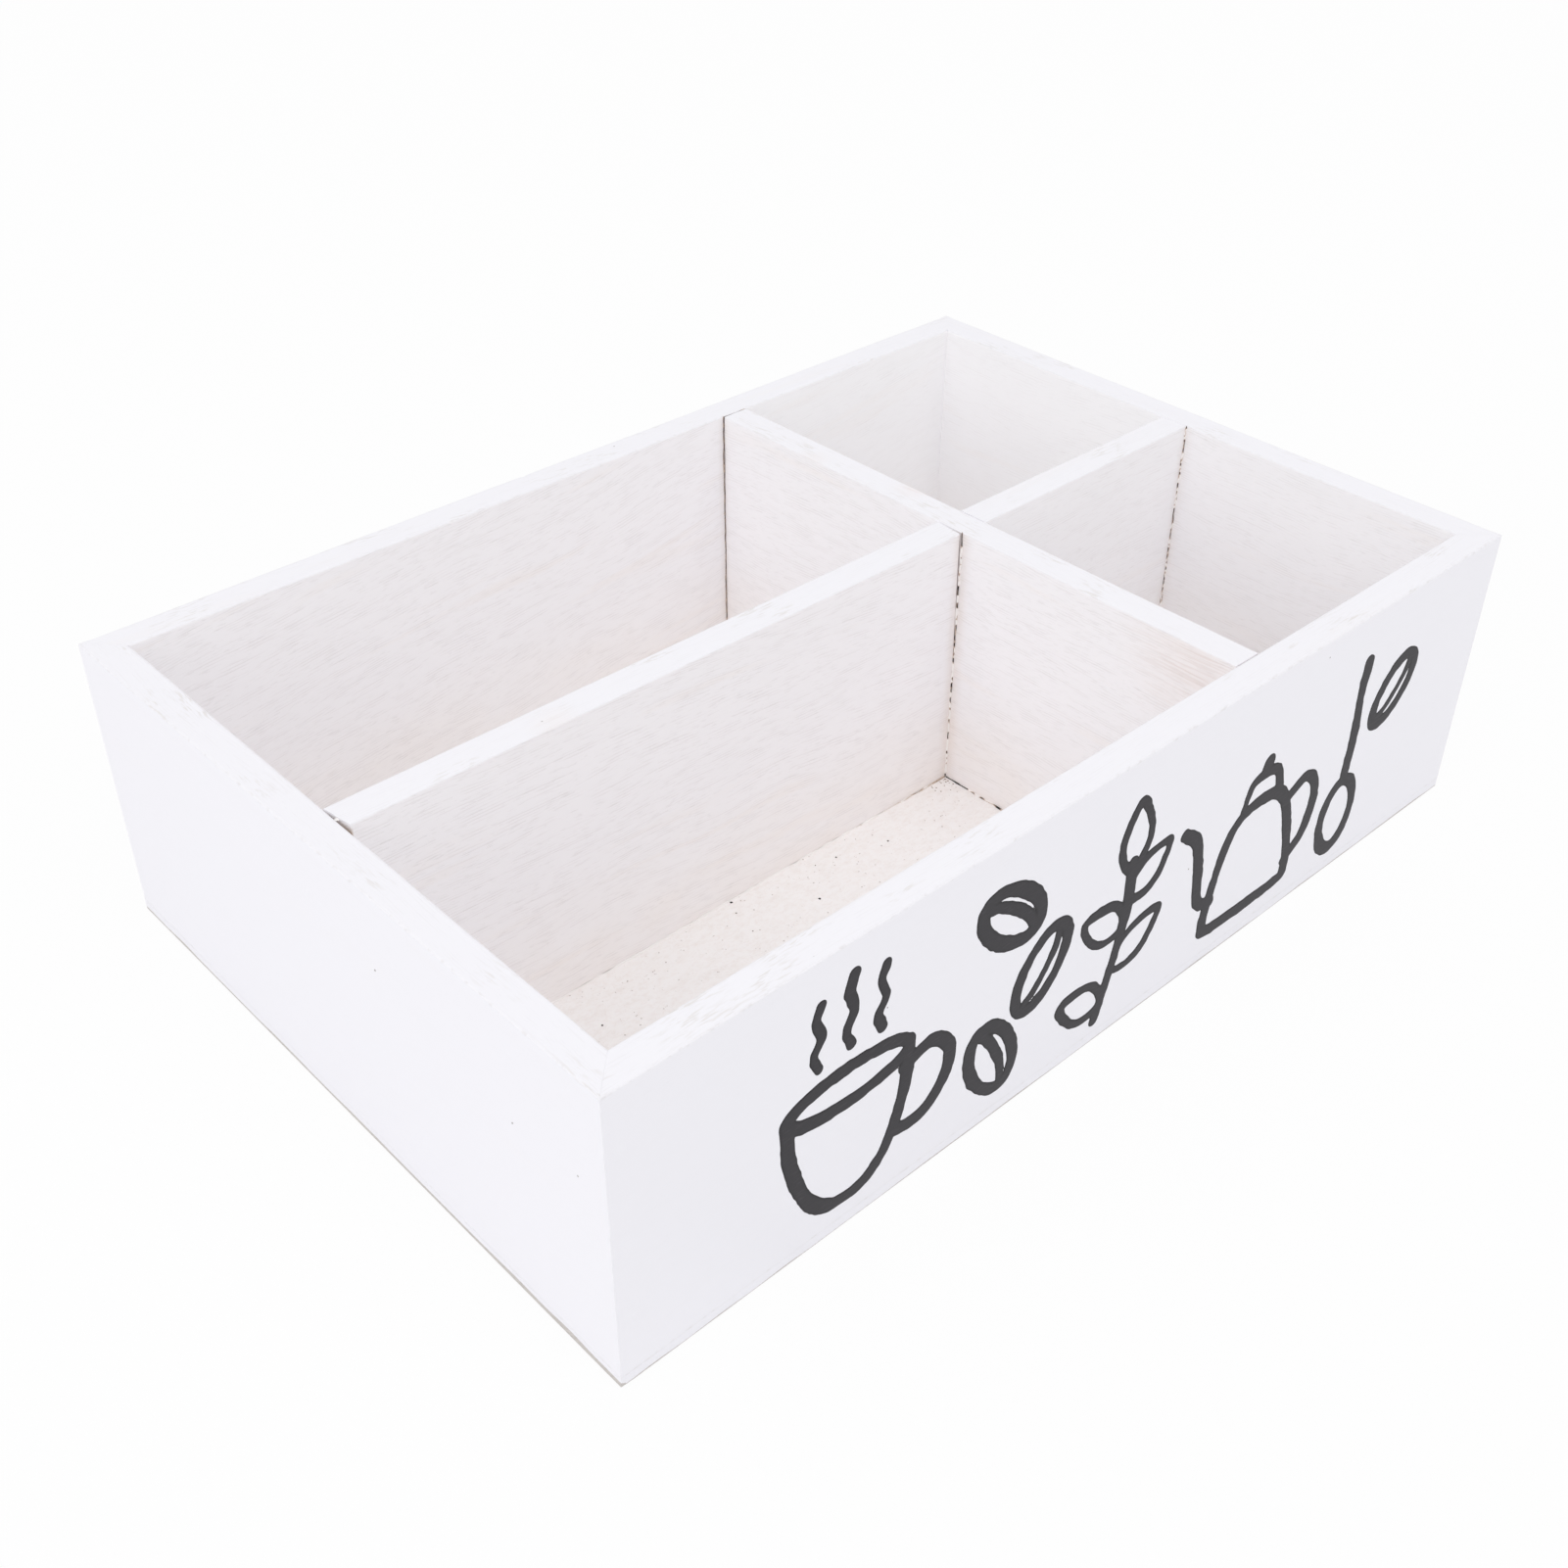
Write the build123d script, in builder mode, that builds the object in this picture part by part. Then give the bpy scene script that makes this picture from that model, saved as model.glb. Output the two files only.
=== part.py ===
import os

from build123d import *

# An open wooden organizer box for a coffee station. Four mitred walls stand on a thin base panel,
# and three dividers make two long compartments on the left and two short ones on the right.
# Millimetres. The box stands on z = 0, centred on the origin, with its long front wall at -y.

# The box outside
length = 300.0
width = 200.0
height = 82.0

# The boards
board_thickness = 9.0
base_thickness = 3.0
base_inset = 0.3  # from the walls' outer faces to the edge of the base panel

# Where the dividers stand, from the middle of the box to their own middle
cross_divider_x = 50.0
lengthwise_y = 0.5
end_gap = 1.2  # the long divider's left end is sawn out of square and opens this far at its front

# Sanded edges
corner_round = 0.8
wall_ease = 0.5
divider_ease = 0.4

# The brads are flat wire with a T head, driven below the walls' faces and filled over
brad_width = 1.2
brad_gauge = 1.0
head_width = 2.0
head_height = 0.6
tip_length = 1.6
wall_brad_length = 22.0
base_brad_length = 12.0
brad_set = 0.8

# Where the brads stand along the boards that they are driven through
pair_shares = (0.2, 0.8)
single_shares = (0.5,)
long_wall_shares = (0.1, 0.5, 0.9)
side_wall_shares = (0.2, 0.8)

# Worked out from the sizes above
half_length = length / 2
half_width = width / 2
half_board = board_thickness / 2
wall_height = height - base_thickness
inner_x = half_length - board_thickness
inner_y = half_width - board_thickness
cross_left = cross_divider_x - half_board
cross_right = cross_divider_x + half_board
up = (0, 0, 1)

# Each wall's foot lies along its outer face: x runs along the wall and y points into the box
feet = {
    "front_wall": Plane(origin=(0, -half_width, base_thickness), x_dir=(1, 0, 0), z_dir=up),
    "back_wall": Plane(origin=(0, half_width, base_thickness), x_dir=(-1, 0, 0), z_dir=up),
    "left_wall": Plane(origin=(-half_length, 0, base_thickness), x_dir=(0, -1, 0), z_dir=up),
    "right_wall": Plane(origin=(half_length, 0, base_thickness), x_dir=(0, 1, 0), z_dir=up),
}
runs = {"front_wall": length, "back_wall": length, "left_wall": width, "right_wall": width}


def wall_seat(name, along, rise):
    # A brad's mark on a wall's outer face, looking the way the brad is driven
    foot = feet[name]
    return Plane(origin=foot.from_local_coords((along, 0, rise)), x_dir=up, z_dir=foot.y_dir)


def spread(start, end, shares):
    # Places between two others, at shares of the way
    return [start + (end - start) * share for share in shares]


# Corners: a pair of brads through the long wall, and one between them through the side wall
corner_seats = []
for name, run in runs.items():
    shares = single_shares if name in ("left_wall", "right_wall") else pair_shares
    for end in (-1, 1):
        for rise in spread(0, wall_height, shares):
            corner_seats.append(wall_seat(name, end * (run / 2 - half_board), rise))

# Dividers: a pair of brads through the wall into each end that meets one
divider_marks = {
    "front_wall": cross_divider_x,
    "back_wall": -cross_divider_x,
    "left_wall": -lengthwise_y,
    "right_wall": lengthwise_y,
}
divider_seats = []
for name, along in divider_marks.items():
    for rise in spread(0, wall_height, pair_shares):
        divider_seats.append(wall_seat(name, along, rise))

# Base: brads from below into the middle of each board that stands on the panel
base_seats = []
for side in (-1, 1):
    for x in spread(-half_length, half_length, long_wall_shares):
        base_seats.append(Plane(origin=(x, side * (half_width - half_board), 0)))
    for y in spread(-half_width, half_width, side_wall_shares):
        base_seats.append(Plane(origin=(side * (half_length - half_board), y, 0), x_dir=(0, 1, 0)))
for y in spread(-inner_y, inner_y, pair_shares):
    base_seats.append(Plane(origin=(cross_divider_x, y, 0), x_dir=(0, 1, 0)))
for x in spread(-inner_x, cross_left, pair_shares):
    base_seats.append(Plane(origin=(x, lengthwise_y, 0)))
for x in spread(cross_right, inner_x, single_shares):
    base_seats.append(Plane(origin=(x, lengthwise_y, 0)))


def brad(brad_length):
    # T head, straight shank and chisel tip, driven along +z from the origin
    with BuildPart() as wire:
        with BuildSketch(Plane.XZ):
            with BuildLine():
                Polyline(
                    (-head_width / 2, 0),
                    (head_width / 2, 0),
                    (head_width / 2, head_height),
                    (brad_width / 2, head_height),
                    (brad_width / 2, brad_length - tip_length),
                    (0, brad_length),
                    (-brad_width / 2, brad_length - tip_length),
                    (-brad_width / 2, head_height),
                    (-head_width / 2, head_height),
                    close=True,
                )
            make_face()
        extrude(amount=brad_gauge / 2, both=True)
    return wire.part


wall_brad = brad(wall_brad_length)
base_brad = brad(base_brad_length)

with BuildPart() as corner_brads:
    with Locations(*[seat.offset(brad_set) for seat in corner_seats]):
        add(wall_brad)
corner_brads.part.label = "corner_brads"

with BuildPart() as divider_brads:
    with Locations(*[seat.offset(brad_set) for seat in divider_seats]):
        add(wall_brad)
divider_brads.part.label = "divider_brads"

with BuildPart() as base_brads:
    with Locations(*base_seats):
        add(base_brad)
base_brads.part.label = "base_brads"

# The filler closes the slot that a brad's head leaves in the wall's face
with BuildPart() as nail_hole_filler:
    with Locations(*corner_seats, *divider_seats):
        Box(head_width, brad_gauge, brad_set, align=(Align.CENTER, Align.CENTER, Align.MIN))
nail_hole_filler.part.label = "nail_hole_filler"

fasteners = [corner_brads.part, divider_brads.part, base_brads.part, nail_hole_filler.part]
pieces = list(fasteners)

# Walls: each is mitred at both ends, with half of the rounded corner left on each side of the mitre.
# Their top edges are eased, and their feet stay square where they meet the base
for name, run in runs.items():
    straight = run / 2 - corner_round
    inside = run / 2 - board_thickness
    with BuildPart() as wall:
        with BuildSketch(feet[name]):
            with BuildLine():
                Line((-straight, 0), (straight, 0))
                right = CenterArc((straight, corner_round), corner_round, -90, 45)
                left = CenterArc((-straight, corner_round), corner_round, -135, 45)
                back = Line((-inside, board_thickness), (inside, board_thickness))
                Line(right @ 1, back @ 1)
                Line(left @ 0, back @ 0)
            make_face()
        extrude(amount=wall_height)
        along_wall = wall.edges().filter_by(Axis((0, 0, 0), feet[name].x_dir))
        around_corner = wall.edges().filter_by(GeomType.CIRCLE)
        top_edges = (along_wall + around_corner).group_by(Axis.Z)[-1]
        fillet(top_edges, radius=wall_ease)
        add(fasteners, mode=Mode.SUBTRACT)
    wall.part.label = name
    pieces.append(wall.part)

# Base: sanded almost flush with the walls' outer faces all round
with BuildPart() as base_panel:
    with BuildSketch():
        Rectangle(length - 2 * base_inset, width - 2 * base_inset)
    extrude(amount=base_thickness)
    add(fasteners, mode=Mode.SUBTRACT)
base_panel.part.label = "base_panel"
pieces.append(base_panel.part)

# Dividers: they stand on the base and end flush with the tops of the walls
lengthwise_front = lengthwise_y - half_board
lengthwise_back = lengthwise_y + half_board
divider_plans = {
    "cross_divider": [
        (cross_left, -inner_y),
        (cross_right, -inner_y),
        (cross_right, inner_y),
        (cross_left, inner_y),
    ],
    "long_divider": [
        (-inner_x + end_gap, lengthwise_front),
        (cross_left, lengthwise_front),
        (cross_left, lengthwise_back),
        (-inner_x, lengthwise_back),
    ],
    "short_divider": [
        (cross_right, lengthwise_front),
        (inner_x, lengthwise_front),
        (inner_x, lengthwise_back),
        (cross_right, lengthwise_back),
    ],
}
for name, plan in divider_plans.items():
    with BuildPart() as divider:
        with BuildSketch(Plane.XY.offset(base_thickness)):
            with BuildLine():
                Polyline(*plan, close=True)
            make_face()
        extrude(amount=wall_height)
        along_divider = Axis.Y if name == "cross_divider" else Axis.X
        top_edges = divider.edges().group_by(Axis.Z)[-1]
        fillet(top_edges.filter_by(along_divider), radius=divider_ease)
        add(fasteners, mode=Mode.SUBTRACT)
    divider.part.label = name
    pieces.append(divider.part)

os.makedirs("parts", exist_ok=True)
for piece in pieces:
    export_step(piece, f"parts/{piece.label}.step")
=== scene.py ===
import itertools
import math

import bpy
import numpy as np
from mathutils import Matrix, Vector


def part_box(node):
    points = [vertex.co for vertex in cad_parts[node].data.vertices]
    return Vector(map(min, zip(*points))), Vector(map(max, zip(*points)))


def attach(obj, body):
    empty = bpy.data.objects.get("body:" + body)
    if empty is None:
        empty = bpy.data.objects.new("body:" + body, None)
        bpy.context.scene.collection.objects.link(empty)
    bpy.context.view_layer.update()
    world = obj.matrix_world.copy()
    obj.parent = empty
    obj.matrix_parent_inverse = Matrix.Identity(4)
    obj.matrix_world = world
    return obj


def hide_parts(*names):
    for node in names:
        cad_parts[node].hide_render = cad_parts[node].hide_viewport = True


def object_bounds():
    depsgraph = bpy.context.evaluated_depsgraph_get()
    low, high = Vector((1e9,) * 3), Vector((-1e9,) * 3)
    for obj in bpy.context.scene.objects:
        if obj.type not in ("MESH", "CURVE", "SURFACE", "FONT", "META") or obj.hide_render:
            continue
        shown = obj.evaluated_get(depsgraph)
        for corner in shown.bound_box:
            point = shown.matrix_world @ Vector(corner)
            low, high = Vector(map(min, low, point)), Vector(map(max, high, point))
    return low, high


mm = 0.001
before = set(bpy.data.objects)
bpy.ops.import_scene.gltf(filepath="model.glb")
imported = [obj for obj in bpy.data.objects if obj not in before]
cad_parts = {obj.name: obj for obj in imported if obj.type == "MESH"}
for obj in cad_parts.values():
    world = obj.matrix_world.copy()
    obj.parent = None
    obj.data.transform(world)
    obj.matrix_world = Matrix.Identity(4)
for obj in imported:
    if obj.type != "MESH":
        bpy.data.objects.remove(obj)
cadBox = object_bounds()
print("frame loaded:", len(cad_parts), "nodes")

# everything below is worked out from the sizes of the frame
outLow, outHigh = cadBox
baseLow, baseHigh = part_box("base_panel")
crossLow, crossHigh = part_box("cross_divider")
longLow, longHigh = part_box("long_divider")
shortLow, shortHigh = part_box("short_divider")
thick = crossHigh.x - crossLow.x
footZ, topZ = crossLow.z, crossHigh.z
across, away, upward = Vector((1, 0, 0)), Vector((0, 1, 0)), Vector((0, 0, 1))

# numbers that shuffle the corners of the noise's cells
shuffleSteps = np.array([73856093, 19349663, 83492791])
shuffleRounds = ((11, 2654435761), (15, 2246822519))
shuffleRange = 2**32


# smooth noise from -1 to 1, the same at the same place in every run
def ripple(points, cell, seed):
    spot = points / np.array(cell) + seed
    low = np.floor(spot).astype(np.int64)
    t = spot - low
    t = t * t * (3 - 2 * t)
    total = np.zeros(len(points))
    for corner in itertools.product((0, 1), repeat=3):
        mixed = (low + corner) @ shuffleSteps
        for shift, factor in shuffleRounds:
            mixed = (mixed ^ (mixed >> shift)) * factor % shuffleRange
        share = np.prod(np.where(corner, t, 1 - t), axis=1)
        total += share * (mixed / (shuffleRange / 2) - 1)
    return total


# ripples on top of each other, each given by its height, its cell and its seed
def ripples(points, rows):
    return sum(height * ripple(points, cell, seed) for height, cell, seed in rows)


def fade(x, low, high):
    t = np.clip((x - low) / (high - low), 0, 1)
    return t * t * (3 - 2 * t)


# how far each point lies from the straight line between two places
def farFromLine(points, start, end):
    start, run = np.array(start), np.array(end - start)
    t = np.clip((points - start) @ run / (run @ run), 0, 1)
    return np.linalg.norm(points - start - t[:, None] * run, axis=1)


def newPiece(name, points, faces, material, values):
    mesh = bpy.data.meshes.new(name)
    mesh.from_pydata(points.tolist(), [], faces)
    mesh.update()
    for key, value in values.items():
        field, kind = ("vector", "FLOAT_VECTOR") if value.ndim == 2 else ("value", "FLOAT")
        layer = mesh.attributes.new(key, kind, "POINT")
        layer.data.foreach_set(field, value.astype(np.float32).ravel())
    mesh.polygons.foreach_set("use_smooth", [True] * len(mesh.polygons))
    mesh.materials.append(material)
    piece = bpy.data.objects.new(name, mesh)
    bpy.context.scene.collection.objects.link(piece)
    return piece


# a piece of the box: its finish, and the CAD node that it stands for if there is one
def boxPiece(name, points, faces, material, values, node=None):
    piece = newPiece(name, points, faces, material, values)
    if node:
        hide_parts(node)
    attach(piece, "root")


# The faces of a tube: quads between neighbouring rings of points and a lid at each end. They face out
# when each ring turns with the clock as seen along the tube.
def tubeFaces(first, rings, sides, turnsRight):
    faces = []
    for ring, turn in itertools.product(range(rings - 1), range(sides)):
        here, beyond = first + ring * sides + turn, first + ring * sides + (turn + 1) % sides
        faces.append([here, beyond, beyond + sides, here + sides])
    last = first + (rings - 1) * sides
    faces += [list(range(first, first + sides))[::-1], list(range(last, last + sides))]
    return faces if turnsRight else [face[:1] + face[:0:-1] for face in faces]


# finishes
def tint(red, green, blue):
    levels = [level / 255 for level in (red, green, blue)]
    return (*[v / 12.92 if v < 0.04 else ((v + 0.055) / 1.055) ** 2.4 for v in levels], 1)


# a socket that takes part in plain arithmetic
class Wire:
    def __init__(self, tree, socket=None):
        self.tree = tree
        self.socket = socket

    # any node: its type, its settings, what its sockets get and which socket comes out
    def node(self, kind, settings=None, sockets=None, out=0):
        made = self.tree.nodes.new(kind)
        for key, value in (settings or {}).items():
            if key == "stops":
                while len(made.color_ramp.elements) < len(value):
                    made.color_ramp.elements.new(1)
                for element, (place, colour) in zip(made.color_ramp.elements, value):
                    element.position, element.color = place, colour
            else:
                setattr(made, key, value)
        for key, value in (sockets or {}).items():
            if isinstance(value, Wire):
                self.tree.links.new(value.socket, made.inputs[key])
            else:
                made.inputs[key].default_value = value
        return Wire(self.tree, made.outputs[out]) if made.outputs else made

    def maths(self, operation, first, second):
        return self.node("ShaderNodeMath", {"operation": operation}, {0: first, 1: second})

    def __add__(self, other):
        return self.maths("ADD", self, other)

    def __sub__(self, other):
        return self.maths("SUBTRACT", self, other)

    def __rsub__(self, other):
        return self.maths("SUBTRACT", other, self)

    def __mul__(self, other):
        return self.maths("MULTIPLY", self, other)

    __radd__ = __add__
    __rmul__ = __mul__

    # 0 below low, 1 above high, smooth between
    def between(self, low, high):
        limits = {"Value": self, "From Min": low, "From Max": high}
        return self.node("ShaderNodeMapRange", {"interpolation_type": "SMOOTHSTEP"}, limits)

    # low where this is 0, high where it is 1
    def spread(self, low, high):
        return self * (high - low) + low

    # this mask lays one colour over another
    def lay(self, under, over):
        colours = {"Factor": self, 6: under, 7: over}
        return self.node("ShaderNodeMix", {"data_type": "RGBA"}, colours, 2)

    # this place, squeezed along each axis
    def pressed(self, squeeze):
        return self.node("ShaderNodeVectorMath", {"operation": "MULTIPLY"}, {0: self, 1: squeeze})

    # noise at this place
    def pattern(self, squeeze, detail=1, limits=None, rough=0.5, swirl=0):
        sockets = {"Vector": self.pressed(squeeze), "Scale": 1}
        sockets |= {"Detail": detail, "Roughness": rough, "Distortion": swirl}
        made = self.node("ShaderNodeTexNoise", sockets=sockets)
        return made.between(*limits) if limits else made

    # scattered dots: the distances from their middles where they are full and where they end
    def dots(self, squeeze, limits):
        sockets = {"Vector": self.pressed(squeeze), "Scale": 1}
        return 1 - self.node("ShaderNodeTexVoronoi", sockets=sockets, out="Distance").between(*limits)

    # what the mesh says at each point
    def told(self, name, out="Fac"):
        return self.node("ShaderNodeAttribute", {"attribute_name": name}, out=out)


# the first weight, and on top of it each part by its own weight
def weighed(weights, *parts):
    return sum((part * weight for part, weight in zip(parts, weights[1:])), weights[0])


def newFinish(name):
    finish = bpy.data.materials.new(name)
    finish.use_nodes = True
    finish.node_tree.nodes.clear()
    return finish, Wire(finish.node_tree)


def coat(bench, colour, roughness, height, depth, **plain):
    bump = bench.node("ShaderNodeBump", sockets={"Height": height, "Distance": depth})
    sockets = {"Base Color": colour, "Roughness": roughness, "Normal": bump, **plain}
    shader = bench.node("ShaderNodeBsdfPrincipled", sockets=sockets)
    bench.node("ShaderNodeOutputMaterial", sockets={"Surface": shader})


# In every look a pattern is its squeeze, in cells to the millimetre along the grain and across it both
# ways, then its detail, the limits it fades in between, its roughness and its swirl. Square brackets hold
# weights: what is there anyway, and how much each mask or noise adds.
paintLook = {
    "outside": tint(246, 245, 250),
    "inside": tint(249.2, 248, 250.2),
    "sway": ((0.018, 0.04, 0.04),),
    "swayReach": 7,
    "ringSqueeze": (0.06, 1, 1),
    "rings": {"Scale": 0.4, "Distortion": 5, "Detail": 2, "Detail Scale": 0.5},
    "ringLimits": (0.55, 0.95),
    "breaks": ((0.1, 0.5, 0.5), 3, (0.46, 0.64)),
    "bands": ((0.012, 0.14, 0.14), 2, (0.58, 0.74)),
    "pores": ((0.3, 2.8, 2.8), 1, (0.6, 0.7)),
    "patches": ((0.05, 0.08, 0.08), 2),
    "grit": ((2.2, 2.2, 2.2), 3, None, 0.6),
    "thinned": ((0.03, 0.4, 0.4), 3, (0.3, 0.7)),
    "threads": ((0.07, 1.5, 1.5), 2, (0.5, 0.62)),
    "scuffs": ((0.25, 1.2, 1.2), 3, (0.5, 0.66)),
    "scuffPatches": (0.52, 0.7),
    "edgeMarks": ((0.5, 0.5, 0.5), 3, (0.5, 0.7)),
    "flecks": ((0.045, 0.045, 0.045), (0.008, 0.014)),
    "grainInside": [0.85, -0.45],  # the painted light in the small bays hides some
    "grainShown": [0.1, 0.2, 1],  # everywhere, on top and inside
    # colours and how strongly they show: a pair runs from one to the other as its noise does
    # painted shade: a warmer, darker white towards the foot of the inner faces
    "low": (tint(247.5, 242.5, 239.5), (0, 1.2)),
    # painted light: a paler white inside the small bays
    "fresh": (tint(253, 253, 254), 0.55),
    "band": (tint(246, 238, 232), 0.28),
    "line": (tint(216, 210, 210), 0.26),
    "pore": (tint(178, 170, 170), (0, 0.2)),
    "bareWood": (tint(243, 231, 226), (0.3, 0.45)),
    "bareLine": (tint(218, 202, 196), (0.2, 0.35)),
    "scuff": (tint(218, 212, 206), 0.5),
    # a warm tan tint on the inner faces near the joints, fading over a few millimetres
    "glueStain": (tint(224, 206, 192), 1),
    "jointTintWeights": [0, 0.5, 0.6],  # in patches and by the grit
    # edge wear, and painted shade along the rounded edges
    "worn": (tint(213, 208, 206), (0.08, 0.44)),
    "fleck": (tint(120, 104, 92), 0.7),
    "end": (tint(172, 144, 116), (0.6, 1.1)),
    "roughness": [0.42, 0.08, 0.1],  # more inside and by the grit
    "grooves": [0, 0.5, 0.6],  # of the lines and the pores
    "gritHeight": 0.12,
    "lineDepth": 0.05 * mm,
}
# what the boards tell this finish at each point
paintMasks = ("inner", "top", "edge", "low", "halo", "fresh", "bare", "raw")


# thin satin paint: the grain reads through it inside the box and hardly at all outside
def paintedWood():
    finish, bench = newFinish("whitePaintOverGrain")
    look = paintLook
    inner, top, edge, low, halo, fresh, bare, raw = (bench.told(mask) for mask in paintMasks)
    spot = bench.told("grain", "Vector")
    sway = (spot.pattern(*look["sway"]) - 0.5) * look["swayReach"]
    shift = bench.node("ShaderNodeCombineXYZ", sockets={"Y": sway})
    grain = bench.node("ShaderNodeVectorMath", {"operation": "ADD"}, {0: spot, 1: shift})

    waves = {"Vector": grain.pressed(look["ringSqueeze"]), **look["rings"]}
    rings = bench.node("ShaderNodeTexWave", {"bands_direction": "Y"}, waves, 1)
    lines = rings.between(*look["ringLimits"]) * grain.pattern(*look["breaks"])
    pores = grain.pattern(*look["pores"])
    patches, grit = spot.pattern(*look["patches"]), spot.pattern(*look["grit"])
    thinned = grain.pattern(*look["thinned"])
    shown = weighed(look["grainShown"], top, inner * weighed(look["grainInside"], fresh))

    # the masks lie over each other in this order, some with the noise that varies their share
    layers = [
        # painted shade low inside the box
        ("low", low, patches),
        # painted light in the small bays
        ("fresh", fresh),
        ("band", grain.pattern(*look["bands"]) * shown),
        ("line", lines * shown),
        ("pore", pores * shown, patches),
        ("bareWood", bare, thinned),
        ("bareLine", bare * grain.pattern(*look["threads"]), thinned),
        ("scuff", top * patches.between(*look["scuffPatches"]) * grain.pattern(*look["scuffs"])),
        # the tan tint near the joints
        ("glueStain", halo * weighed(look["jointTintWeights"], patches, grit)),
        # wear and painted shade on the rounded edges
        ("worn", edge, spot.pattern(*look["edgeMarks"])),
        ("fleck", spot.dots(*look["flecks"])),
        ("end", raw, grit),
    ]
    colour = inner.lay(look["outside"], look["inside"])
    for name, mask, *noise in layers:
        shade, share = look[name]
        mask = mask * (noise[0].spread(*share) if noise else share)
        colour = mask.lay(colour, shade)

    height = grit * look["gritHeight"] - weighed(look["grooves"], lines, pores) * shown
    coat(bench, colour, weighed(look["roughness"], inner, grit), height, look["lineDepth"])
    return finish


panelLook = {
    "wash": tint(254, 252, 251),
    "fibre": tint(240, 233, 229),
    "fibres": ((0.7, 1.1, 1.1), 4, None, 0.65, 0.6),
    "fibreLimits": (0.46, 0.64),
    "mottles": ((0.3, 0.45, 0.45), 3, (0.42, 0.66), 0.6),
    "clouds": ((0.03, 0.03, 0.03), 2),
    "fibreShown": [0, 0.3, 0.2, 0.1],
    "fleck": tint(132, 110, 92),
    "flecks": ((0.9, 0.9, 0.9), 2, (0.7, 0.76)),
    "dots": ((0.22, 0.22, 0.22), (0.03, 0.07)),
    "fleckShare": 0.5,
    "raw": tint(224, 219, 215),
    "rawDark": tint(182, 176, 172),
    "rawDarkShare": 0.9,
    "rawLimits": (0.35, 0.65),
    "rawUneven": 0.5,
    "grit": ((2.4, 2.4, 2.4), 2),
    "roughness": [0.5, 0.2, 0.2],
    "height": [0, 0.7, 0.3],
    "fibreDepth": 0.09 * mm,
}


# fibreboard under a thin white wash, painted round its edge and bare at its foot and underneath
def washedPanel():
    finish, bench = newFinish("washedFibreboard")
    look = panelLook
    spot = bench.told("grain", "Vector")
    fibres, grit = spot.pattern(*look["fibres"]), spot.pattern(*look["grit"])
    strands = fibres.between(*look["fibreLimits"])
    mottles, clouds = spot.pattern(*look["mottles"]), spot.pattern(*look["clouds"])
    colour = weighed(look["fibreShown"], strands, mottles, clouds).lay(look["wash"], look["fibre"])
    for flecks in (spot.pattern(*look["flecks"]), spot.dots(*look["dots"])):
        colour = (flecks * look["fleckShare"]).lay(colour, look["fleck"])
    colour = bench.told("rim").lay(colour, paintLook["outside"])
    bareFibre = (fibres * look["rawDarkShare"]).lay(look["raw"], look["rawDark"])
    raw = (bench.told("raw") + (grit - 0.5) * look["rawUneven"]).between(*look["rawLimits"])
    colour = raw.lay(colour, bareFibre)
    height = weighed(look["height"], fibres, grit)
    coat(bench, colour, weighed(look["roughness"], raw, fibres), height, look["fibreDepth"])
    return finish


glueAndCrackShadeLook = {
    # how high the glue stands where it has each colour; the near-black at the lowest is painted shade in the
    # joints' cracks
    "stops": [
        (0.25, tint(30, 22, 18)),
        (0.42, tint(112, 96, 88)),
        (0.6, tint(206, 186, 170)),
        (0.8, tint(250, 247, 245)),
    ],
    "crust": ((3, 3, 3), 2),
    "uneven": 0.3,
    "roughness": (0.5, 0.7),
    "crustDepth": 0.08 * mm,
}


# squeezed-out glue with sawdust in it, painted where it stands up, and painted black as the shade in the
# cracks where it sank
def driedGlueAndCrackShade():
    finish, bench = newFinish("driedGlueAndCrackShade")
    look = glueAndCrackShadeLook
    crust = bench.told("grain", "Vector").pattern(*look["crust"])
    level = bench.told("lump") + (crust - 0.5) * look["uneven"]
    colour = bench.node("ShaderNodeValToRGB", {"stops": look["stops"]}, {0: level})
    coat(bench, colour, crust.spread(*look["roughness"]), crust, look["crustDepth"])
    return finish


inkLook = {
    "film": tint(50, 48, 52),
    "thin": tint(74, 71, 75),
    "brush": ((0.25, 1.6, 1.6), 2),
    "thinLimits": (0.52, 0.75),
    "thinShare": 0.5,
    "rim": tint(26, 24, 27),
    "rimShare": (0.5, 1.1),
    "grit": ((3, 3, 3), 2),
    "roughness": (0.4, 0.6),
    "height": [0, 0.6, 0.4],
    "filmDepth": 0.02 * mm,
    "plain": {"Specular IOR Level": 0.25},
}


def brushedInk():
    finish, bench = newFinish("charcoalInk")
    look = inkLook
    spot = bench.told("grain", "Vector")
    brush, grit = spot.pattern(*look["brush"]), spot.pattern(*look["grit"])
    thin = brush.between(*look["thinLimits"]) * look["thinShare"]
    colour = thin.lay(look["film"], look["thin"])
    colour = (bench.told("strokeRim") * grit.spread(*look["rimShare"])).lay(colour, look["rim"])
    height = weighed(look["height"], brush, grit)
    coat(bench, colour, brush.spread(*look["roughness"]), height, look["filmDepth"], **look["plain"])
    return finish


# the brads' squeezes are in cells to the metre
wireLook = {
    "zinc": tint(150, 151, 154),
    "dull": tint(112, 110, 108),
    "cloud": ((900, 900, 900), 2),
    "dullLimits": (0.4, 0.7),
    "drawn": ((5000, 5000, 300), 2),
    "roughness": (0.25, 0.5),
    "drawDepth": 0.01 * mm,
}


def zincWire():
    finish, bench = newFinish("zincWire")
    look = wireLook
    spot = bench.node("ShaderNodeTexCoord", out="Object")
    cloud, drawn = spot.pattern(*look["cloud"]), spot.pattern(*look["drawn"])
    colour = cloud.between(*look["dullLimits"]).lay(look["zinc"], look["dull"])
    coat(bench, colour, cloud.spread(*look["roughness"]), drawn, look["drawDepth"], Metallic=1)
    return finish


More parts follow.
